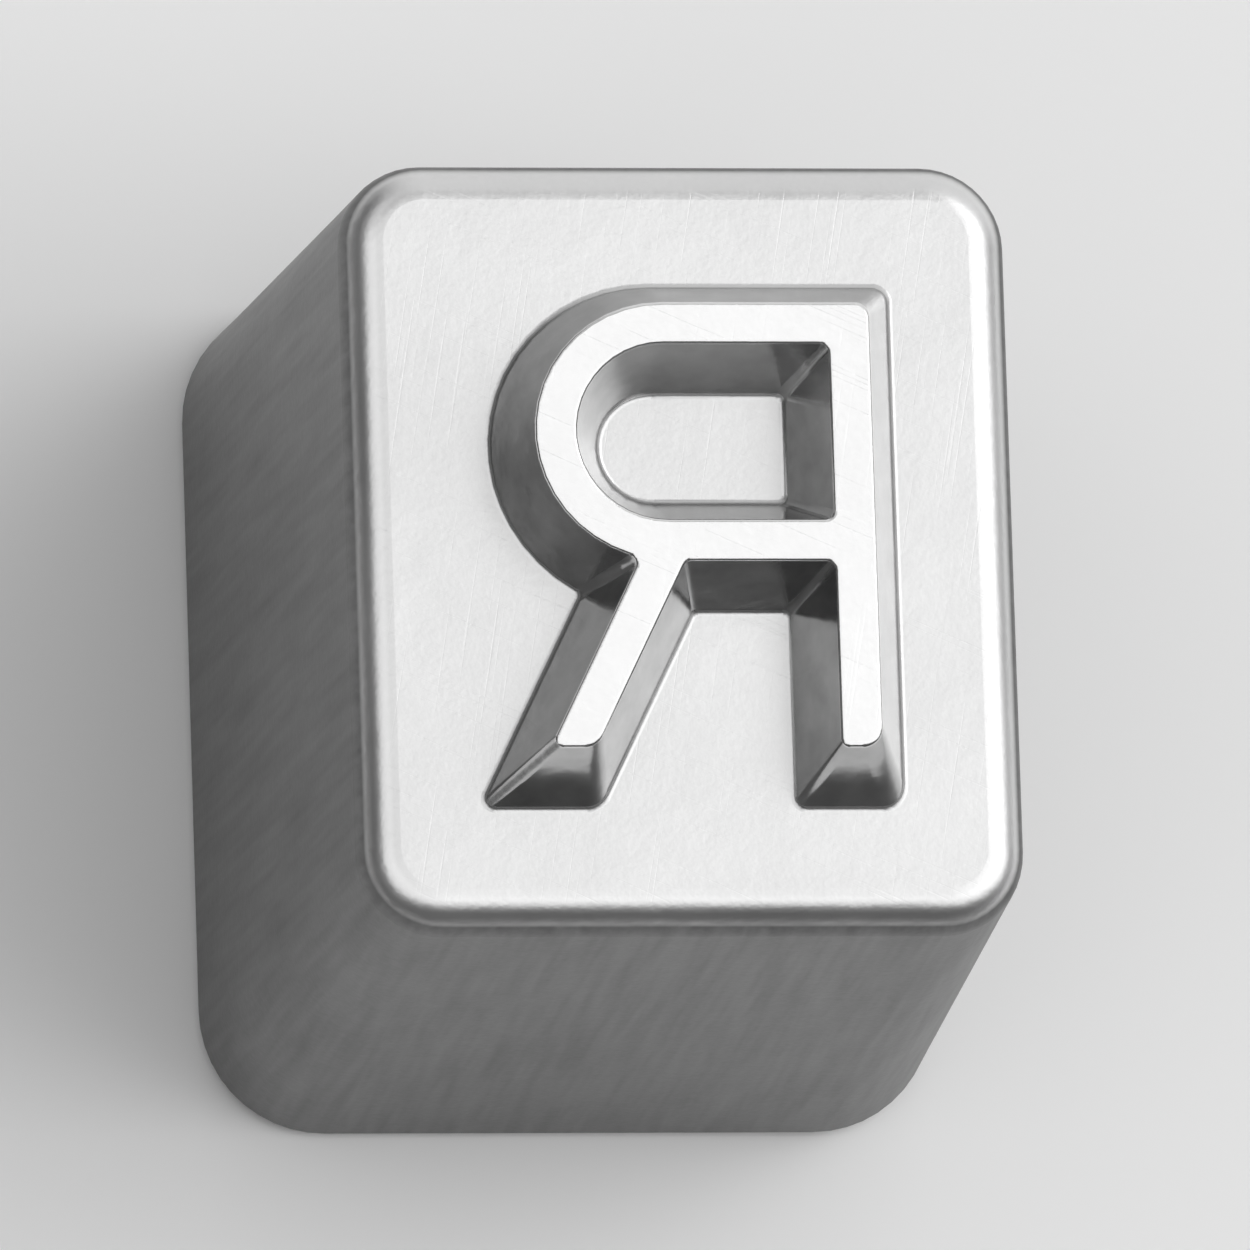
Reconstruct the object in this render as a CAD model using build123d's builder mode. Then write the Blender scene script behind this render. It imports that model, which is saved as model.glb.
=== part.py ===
import os
from math import cos, radians, tan

from build123d import *

# Block
face_width = 8.2
face_length = 9.55
block_height = 11.0
draft_angle = 3.0
corner_radius = 1.0
face_edge_radius = 0.5
back_edge_radius = 0.3

# Socket for the handle's tip
tip_diameter = 3.4
socket_clearance = 0.1
socket_depth = 8.8
socket_lead_in = 0.3

# Raised letter: its widths are at the face, where its sloped sides start, and it stands a
# little right of and below the middle of the face
letter_right_shift = 0.1
letter_down_shift = 0.05
letter_width = 5.0
letter_height = 6.5
relief = 1.1
ridge_width = 0.5
slope_angle = 21.0
end_slope_angle = 27.0
bowl_height = 4.05
leg_angle = 26.5
leg_inset = 0.5
letter_corner_radius = 0.12
stroke_end_radius = 0.3
stem_top_radius = 0.2
letter_foot_radius = 0.08
letter_ridge_radius = 0.05

# Sizes that follow from those above
draft_run = block_height * tan(radians(draft_angle))
back_width = face_width + 2 * draft_run
back_length = face_length + 2 * draft_run
back_corner_radius = corner_radius + draft_run
socket_radius = (tip_diameter + socket_clearance) / 2
slope_run = relief * tan(radians(slope_angle))
end_run = relief * tan(radians(end_slope_angle))
stroke = ridge_width + 2 * slope_run
letter_left = letter_right_shift - letter_width / 2
letter_right = letter_left + letter_width
letter_bottom = -letter_down_shift - letter_height / 2
letter_top = letter_bottom + letter_height
stem_left = letter_right - stroke
bowl_radius = bowl_height / 2
bowl_x = letter_left + bowl_radius
bowl_y = letter_top - bowl_radius
leg_x = letter_left + leg_inset
leg_half_width = stroke / 2 / cos(radians(leg_angle))
leg_top = bowl_y - bowl_radius + stroke
leg_run = (leg_top - letter_bottom) * tan(radians(leg_angle))
ridge_height = block_height + relief
face_plane = Plane.XY.offset(block_height)


def leans(edge):
    """True where an edge climbs the letter and leans: the seams beside the round end don't."""
    size = edge.bounding_box().size
    return size.Z > relief / 2 and size.X > slope_run / 10


with BuildPart() as letter_punch:
    # Block, narrower at the face than at the back
    with BuildSketch(Plane.XY):
        RectangleRounded(back_width, back_length, back_corner_radius)
    extrude(amount=block_height, taper=draft_angle)
    fillet(letter_punch.faces().sort_by(Axis.Z)[0].edges(), radius=back_edge_radius)
    fillet(letter_punch.faces().sort_by(Axis.Z)[-1].edges(), radius=face_edge_radius)

    # Stem of the letter, which is reversed so that its mark reads the right way round
    with BuildSketch(face_plane):
        with Locations((letter_right, letter_bottom)):
            Rectangle(stroke, letter_height, align=(Align.MAX, Align.MIN))
    extrude(amount=relief, taper=slope_angle)

    # Bowl, still filled, which reaches across the stem
    with BuildSketch(face_plane):
        with Locations((bowl_x, bowl_y)):
            Circle(bowl_radius)
            Rectangle(letter_right - bowl_x, bowl_height, align=(Align.MIN, Align.CENTER))
    extrude(amount=relief, taper=slope_angle)

    # Leg, which slants down from the bowl
    with BuildSketch(face_plane):
        with BuildLine():
            Polyline(
                (leg_x - leg_half_width, letter_bottom),
                (leg_x + leg_half_width, letter_bottom),
                (leg_x + leg_half_width + leg_run, leg_top),
                (leg_x - leg_half_width + leg_run, leg_top),
                close=True,
            )
        make_face()
    extrude(amount=relief, taper=slope_angle)

    # Counter of the bowl, wider at the ridge than at the face
    with BuildSketch(face_plane):
        with Locations((bowl_x, bowl_y)):
            Circle(bowl_radius - stroke)
            Rectangle(stem_left - bowl_x, bowl_height - 2 * stroke, align=(Align.MIN, Align.CENTER))
    extrude(amount=relief, taper=-slope_angle, mode=Mode.SUBTRACT)

    # Lower ends of the stem and the leg, which slope further back than the sides
    with BuildSketch(Plane.YZ):
        with BuildLine():
            Polyline(
                (letter_bottom, block_height),
                (letter_bottom, ridge_height),
                (letter_bottom + end_run, ridge_height),
                close=True,
            )
        make_face()
    extrude(amount=face_width / 2, both=True, mode=Mode.SUBTRACT)

    # Corners where the letter's slopes meet, rounder at the right of its three free ends
    slope_edges = letter_punch.edges().filter_by_position(Axis.Z, block_height, ridge_height)
    corners = slope_edges.filter_by(leans)
    end_corners = corners.sort_by(Axis.Y)[:4].sort_by(Axis.X)
    round_corners = [end_corners[1], end_corners[3]]
    top_corner = corners.sort_by(Axis.Y)[-1]
    tight_corners = corners.filter_by(lambda edge: edge not in round_corners + [top_corner])
    fillet(tight_corners, radius=letter_corner_radius)
    fillet(round_corners, radius=stroke_end_radius)
    fillet(top_corner, radius=stem_top_radius)

    # Ridge of the letter, and its foot on the face and around the counter's floor
    fillet(letter_punch.faces().sort_by(Axis.Z)[-1].edges(), radius=letter_ridge_radius)
    floors = letter_punch.faces().filter_by(Axis.Z).group_by(Axis.Z)[-2]
    counter_floor, face = floors.sort_by(SortBy.AREA)
    fillet(face.inner_wires()[0].edges() + counter_floor.edges(), radius=letter_foot_radius)

    # Socket in the back, with a lead-in at its mouth
    with Locations(Plane.XY):
        Hole(radius=socket_radius, depth=socket_depth)
    mouth = letter_punch.faces().sort_by(Axis.Z)[0].inner_wires()[0]
    chamfer(mouth.edges(), length=socket_lead_in)

letter_punch.part.label = "letter_punch"
os.makedirs("parts", exist_ok=True)
export_step(letter_punch.part, "parts/letter_punch.step")
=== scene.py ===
from math import radians

import bpy
from mathutils import Matrix, Vector


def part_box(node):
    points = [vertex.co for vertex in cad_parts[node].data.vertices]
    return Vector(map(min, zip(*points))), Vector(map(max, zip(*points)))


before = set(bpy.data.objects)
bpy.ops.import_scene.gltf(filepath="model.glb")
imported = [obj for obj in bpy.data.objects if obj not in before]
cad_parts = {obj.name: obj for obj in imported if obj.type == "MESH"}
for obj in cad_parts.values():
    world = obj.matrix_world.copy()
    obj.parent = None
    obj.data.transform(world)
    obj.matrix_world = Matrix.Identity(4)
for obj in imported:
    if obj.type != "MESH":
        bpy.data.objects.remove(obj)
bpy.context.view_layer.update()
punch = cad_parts["letter_punch"]
low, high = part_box("letter_punch")

MM = 0.001

# Heights on the punch, in mm: the letter's relief, the face plane, and its edge's rounding
RELIEF = 1.1
FACE_Z = high.z / MM - RELIEF
EDGE_RADIUS = 0.5

# Camera: the photograph was taken from straight above NADIR_PX, at this height over the punch
NADIR_PX = (690.0, 1000.0)
PUNCH_PX = (1149.0, 405.0)
CAMERA_HEIGHT_PX = 2900.0
MM_PER_PX = 0.1083
VIEW_WIDTH = 15.5 * MM
SENSOR = 36.0
CLIP = (0.05, 3.0)

# Softboxes in one plane overhead: a long one, and smaller ones that add light over its right half,
# over its left end and behind it. Each has its left and right edge as x / z of their direction
# from the punch, its front and back edge as y / z, and the level at which its surface renders.
LAMP_HEIGHT = 0.70
LAMPS = {
    "softbox": ((-1.00, 2.40), (-0.72, 0.40), 0.71),
    "softbox_right": ((0.42, 1.30), (-0.45, 0.60), 2.10),
    "softbox_left": ((-1.00, -0.60), (-0.60, 0.50), 0.40),
    "softbox_back": ((-1.10, -0.20), (0.40, 1.00), 0.40),
}
WATTS_PER_SQUARE_METRE = 4.0

# Weak fill from all round, stronger low at the back, and a pale haze just above the floor
BACK = Vector((0.45, 0.85, 0.27)).normalized()
BACK_SPREAD = (0.45, 0.93)
FILL_LEVELS = (0.05, 0.70)
HAZE_SPREAD = (0.32, 0.10)
HAZE_LEVEL = 0.20

FLOOR_TONE = 0.93
FLOOR_ROUGHNESS = 0.9
FLOOR_SIZE = 3.0

# Where the finishes lie: how far the rim and the wall start below the face and where the wall is
# whole, in edge radii, where the ridge starts, in reliefs, and how far up slopes and flats face
RIM_DEPTH = 0.04
WALL_DEPTHS = (0.18, 0.50)
RIDGE_START = 0.95
SLOPE_FACING = (0.80, 0.50)
FLAT_FACING = (0.90, 0.99)

# Base tones and roughness of the punch's surfaces
FACE_TONE = 0.76
# The walls' dark tone is painted shade: a painted reflection of dark surroundings, not a darker
# metal.
WALL_PAINTED_SHADE = 0.17
SLOPE_TONE = 0.48
RIM_TONE = 0.88
RIDGE_TONE = 0.94
FACE_ROUGHNESS = 0.32
WALL_ROUGHNESS = 0.42
SLOPE_ROUGHNESS = 0.14
RIDGE_ROUGHNESS = 0.18

# Patterns per mm: slow waves, mottling, grain, and draw lines that run down the walls
CLOUD_SCALE = 0.45
MOTTLE_SCALE = 2.0
MOTTLE_DETAIL = 2.0
GRAIN_SCALE = 14.0
GRAIN_DETAIL = 1.0
COARSENESS = 0.6
DRAW_SCALE = (6.0, 6.0, 0.35)
DRAW_DETAIL = 1.0

# Hairlines on the flats: angle in degrees, length and width in mm, and how much of them shows
HAIRLINES = ((24.0, 2.6, 0.035), (100.0, 3.4, 0.03))
HAIRLINE_CUT = (0.70, 0.80)

# How much each pattern changes the tone, the roughness and the relief, which is in mm. Pairs are
# for the rest of the punch and for the letter's slopes.
CLOUD_SHADE = 0.05
MOTTLE_SHADES = (0.03, 0.24)
DRAW_SHADE = 0.10
GRAIN_SHADE = 0.04
CLOUD_GLOSS = 0.05
MOTTLE_GLOSS = (0.02, 0.10)
HAIRLINE_GLOSS = 0.04
CLOUD_RELIEF = 0.014
MOTTLE_RELIEF = (0.006, 0.005)
DRAW_RELIEF = 0.008
GRAIN_RELIEF = (0.0020, 0.0004)
HAIRLINE_RELIEF = 0.0006


class Nodes:
    """Adds shader nodes to a tree and links them in one call each."""

    def __init__(self, tree):
        self.tree = tree
        tree.nodes.clear()

    def add(self, kind, settings=None, **inputs):
        node = self.tree.nodes.new(kind)
        for key, value in (settings or {}).items():
            setattr(node, key, value)
        for key, value in inputs.items():
            self.feed(node, key.replace("_", " "), value)
        return node

    def feed(self, node, socket, value):
        target = node.inputs[int(socket)] if socket.isdigit() else node.inputs[socket]
        if isinstance(value, bpy.types.NodeSocket):
            self.tree.links.new(value, target)
        else:
            target.default_value = value

    def math(self, operation, first, second=0.0, clamp=False):
        node = self.add("ShaderNodeMath", {"operation": operation, "use_clamp": clamp})
        self.feed(node, "0", first)
        self.feed(node, "1", second)
        return node.outputs[0]

    def ramp(self, value, start, end, low=0.0, high=1.0):
        """Runs smoothly from low at start to high at end."""
        node = self.add("ShaderNodeMapRange", {"interpolation_type": "SMOOTHSTEP"})
        self.feed(node, "Value", value)
        self.feed(node, "From Min", start)
        self.feed(node, "From Max", end)
        self.feed(node, "To Min", low)
        self.feed(node, "To Max", high)
        return node.outputs[0]

    def mix(self, factor, first, second):
        """Mixes two numbers."""
        node = self.add("ShaderNodeMix", {"data_type": "FLOAT"})
        self.feed(node, "0", factor)
        self.feed(node, "2", first)
        self.feed(node, "3", second)
        return node.outputs[0]

    def noise(self, place, scale, detail=0.0, roughness=0.5):
        node = self.add("ShaderNodeTexNoise", Vector=place, Scale=scale)
        self.feed(node, "Detail", detail)
        self.feed(node, "Roughness", roughness)
        return node.outputs[0]

    def centred(self, value, spread):
        """Turns a pattern that runs from 0 to 1 into one of the given spread about 0."""
        return self.math("MULTIPLY", self.math("SUBTRACT", value, 0.5), spread)


def grey(value):
    return (value, value, value, 1.0)


def streaks(n, place, angle, length, width):
    """Thin straight marks, about length by width in mm, that run at an angle to X."""
    turned = n.add("ShaderNodeVectorRotate", {"rotation_type": "Z_AXIS"}, Vector=place)
    n.feed(turned, "Angle", radians(angle))
    stretch = n.add("ShaderNodeVectorMath", {"operation": "MULTIPLY"})
    n.feed(stretch, "0", turned.outputs[0])
    n.feed(stretch, "1", (1 / length, 1 / width, 1.0))
    return n.ramp(n.noise(stretch.outputs[0], 1.0), *HAIRLINE_CUT)


def punch_metal():
    """Bright satin metal: polished ridge and rim, satin face, mottled slopes, and rougher walls
    painted dark as painted shade.
    """
    material = bpy.data.materials.new("punch_metal")
    material.use_nodes = True
    n = Nodes(material.node_tree)
    scaled = n.add("ShaderNodeVectorMath", {"operation": "SCALE"})
    n.feed(scaled, "0", n.add("ShaderNodeTexCoord").outputs["Object"])
    n.feed(scaled, "Scale", 1 / MM)
    place = scaled.outputs[0]
    height = n.add("ShaderNodeSeparateXYZ", Vector=place).outputs["Z"]
    normal = n.add("ShaderNodeNewGeometry").outputs["Normal"]
    facing = n.add("ShaderNodeSeparateXYZ", Vector=normal).outputs["Z"]

    # Where the finishes lie, and where the walls' painted shade goes
    wall_start, wall_end = (FACE_Z - depth * EDGE_RADIUS for depth in WALL_DEPTHS)
    wall = n.ramp(height, wall_start, wall_end)
    above = n.math("SUBTRACT", 1.0, wall)
    slope = n.math("MULTIPLY", n.ramp(facing, *SLOPE_FACING), above)
    ridge = n.ramp(height, FACE_Z + RIDGE_START * RELIEF, FACE_Z + RELIEF)
    rim = n.math("MULTIPLY", n.ramp(height, FACE_Z, FACE_Z - RIM_DEPTH * EDGE_RADIUS), above)

    # What the casting, the plating and use left on them
    cloud = n.noise(place, CLOUD_SCALE)
    mottle = n.noise(place, MOTTLE_SCALE, MOTTLE_DETAIL, COARSENESS)
    grain = n.noise(place, GRAIN_SCALE, GRAIN_DETAIL, COARSENESS)
    upright = n.add("ShaderNodeMapping", Vector=place, Scale=DRAW_SCALE).outputs[0]
    drawn = n.noise(upright, 1.0, DRAW_DETAIL)
    marks = n.math("MAXIMUM", *(streaks(n, place, *lines) for lines in HAIRLINES))
    marks = n.math("MULTIPLY", marks, n.ramp(facing, *FLAT_FACING))

    # The walls take their painted shade here.
    tone = n.mix(wall, FACE_TONE, WALL_PAINTED_SHADE)
    tone = n.mix(slope, tone, SLOPE_TONE)
    tone = n.mix(rim, tone, RIM_TONE)
    tone = n.mix(ridge, tone, RIDGE_TONE)
    tone = n.math("ADD", tone, n.centred(cloud, CLOUD_SHADE))
    tone = n.math("ADD", tone, n.centred(mottle, n.mix(slope, *MOTTLE_SHADES)))
    tone = n.math("ADD", tone, n.math("MULTIPLY", n.centred(drawn, DRAW_SHADE), wall))
    tone = n.math("ADD", tone, n.centred(grain, GRAIN_SHADE), clamp=True)
    colour = n.add("ShaderNodeCombineColor", Red=tone, Green=tone, Blue=tone).outputs[0]

    gloss = n.mix(wall, FACE_ROUGHNESS, WALL_ROUGHNESS)
    gloss = n.mix(slope, gloss, SLOPE_ROUGHNESS)
    gloss = n.mix(ridge, gloss, RIDGE_ROUGHNESS)
    gloss = n.math("ADD", gloss, n.centred(cloud, CLOUD_GLOSS))
    gloss = n.math("ADD", gloss, n.centred(mottle, n.mix(slope, *MOTTLE_GLOSS)))
    gloss = n.math("ADD", gloss, n.math("MULTIPLY", marks, HAIRLINE_GLOSS))

    relief = n.math("MULTIPLY", cloud, CLOUD_RELIEF)
    relief = n.math("ADD", relief, n.math("MULTIPLY", mottle, n.mix(slope, *MOTTLE_RELIEF)))
    relief = n.math("ADD", relief, n.math("MULTIPLY", drawn, n.mix(wall, 0.0, DRAW_RELIEF)))
    relief = n.math("ADD", relief, n.math("MULTIPLY", grain, n.mix(slope, *GRAIN_RELIEF)))
    relief = n.math("SUBTRACT", relief, n.math("MULTIPLY", marks, HAIRLINE_RELIEF))
    surface = n.add("ShaderNodeBump", Height=relief, Distance=MM, Strength=1.0).outputs[0]

    shader = n.add("ShaderNodeBsdfPrincipled", Metallic=1.0, Roughness=gloss, Normal=surface)
    n.feed(shader, "Base Color", colour)
    n.add("ShaderNodeOutputMaterial", Surface=shader.outputs[0])
    return material


def floor_material():
    """Plain pale matt floor."""
    material = bpy.data.materials.new("pale_floor")
    material.use_nodes = True
    n = Nodes(material.node_tree)
    shader = n.add("ShaderNodeBsdfPrincipled", Roughness=FLOOR_ROUGHNESS)
    n.feed(shader, "Base Color", grey(FLOOR_TONE))
    n.add("ShaderNodeOutputMaterial", Surface=shader.outputs[0])
    return material


def floor():
    half = FLOOR_SIZE / 2
    mesh = bpy.data.meshes.new("floor")
    corners = [(-half, -half, 0), (half, -half, 0), (half, half, 0), (-half, half, 0)]
    mesh.from_pydata(corners, [], [(0, 1, 2, 3)])
    piece = bpy.data.objects.new("floor", mesh)
    bpy.context.scene.collection.objects.link(piece)
    piece.data.materials.append(floor_material())


def softbox(name, sides, ends, level):
    """A lamp that faces down, and whose surface renders at about the given level."""
    left, right = (side * LAMP_HEIGHT for side in sides)
    front, back = (end * LAMP_HEIGHT for end in ends)
    data = bpy.data.lights.new(name, "AREA")
    data.shape = "RECTANGLE"
    data.size, data.size_y = right - left, back - front
    data.energy = WATTS_PER_SQUARE_METRE * level * data.size * data.size_y
    piece = bpy.data.objects.new(name, data)
    piece.location = ((left + right) / 2, (front + back) / 2, LAMP_HEIGHT)
    bpy.context.scene.collection.objects.link(piece)


def fill_light():
    """A world that is dark overhead and in front, and brighter low at the back and near the floor."""
    world = bpy.data.worlds.new("studio")
    bpy.context.scene.world = world
    world.use_nodes = True
    n = Nodes(world.node_tree)
    direction = n.add("ShaderNodeTexCoord").outputs["Generated"]
    towards = n.add("ShaderNodeVectorMath", {"operation": "DOT_PRODUCT"})
    n.feed(towards, "0", direction)
    n.feed(towards, "1", BACK)
    fill = n.ramp(towards.outputs["Value"], *BACK_SPREAD, *FILL_LEVELS)
    height = n.add("ShaderNodeSeparateXYZ", Vector=direction).outputs["Z"]
    haze = n.ramp(height, *HAZE_SPREAD, 0.0, HAZE_LEVEL)
    light = n.add("ShaderNodeBackground", Color=grey(1.0), Strength=n.math("MAXIMUM", fill, haze))
    n.add("ShaderNodeOutputWorld", Surface=light.outputs[0])


def camera():
    """Looks at the punch as the photograph does: from the lower left, 14 degrees off vertical."""
    offset = Vector((NADIR_PX[0] - PUNCH_PX[0], PUNCH_PX[1] - NADIR_PX[1], CAMERA_HEIGHT_PX))
    distance = offset.length * MM_PER_PX * MM
    back = offset.normalized()
    right = (Vector((1, 0, 0)) - back * back.x).normalized()
    up = back.cross(right)
    target = (low + high) / 2
    data = bpy.data.cameras.new("camera")
    data.sensor_width = SENSOR
    data.lens = SENSOR * distance / VIEW_WIDTH
    data.clip_start, data.clip_end = CLIP
    piece = bpy.data.objects.new("camera", data)
    turn = Matrix((right, up, back)).transposed().to_4x4()
    piece.matrix_world = Matrix.Translation(target + back * distance) @ turn
    bpy.context.scene.collection.objects.link(piece)
    bpy.context.scene.camera = piece


camera()
for name, (sides, ends, level) in LAMPS.items():
    softbox(name, sides, ends, level)
fill_light()
floor()
punch.material_slots[0].material = punch_metal()
bpy.context.scene.view_settings.view_transform = "Standard"
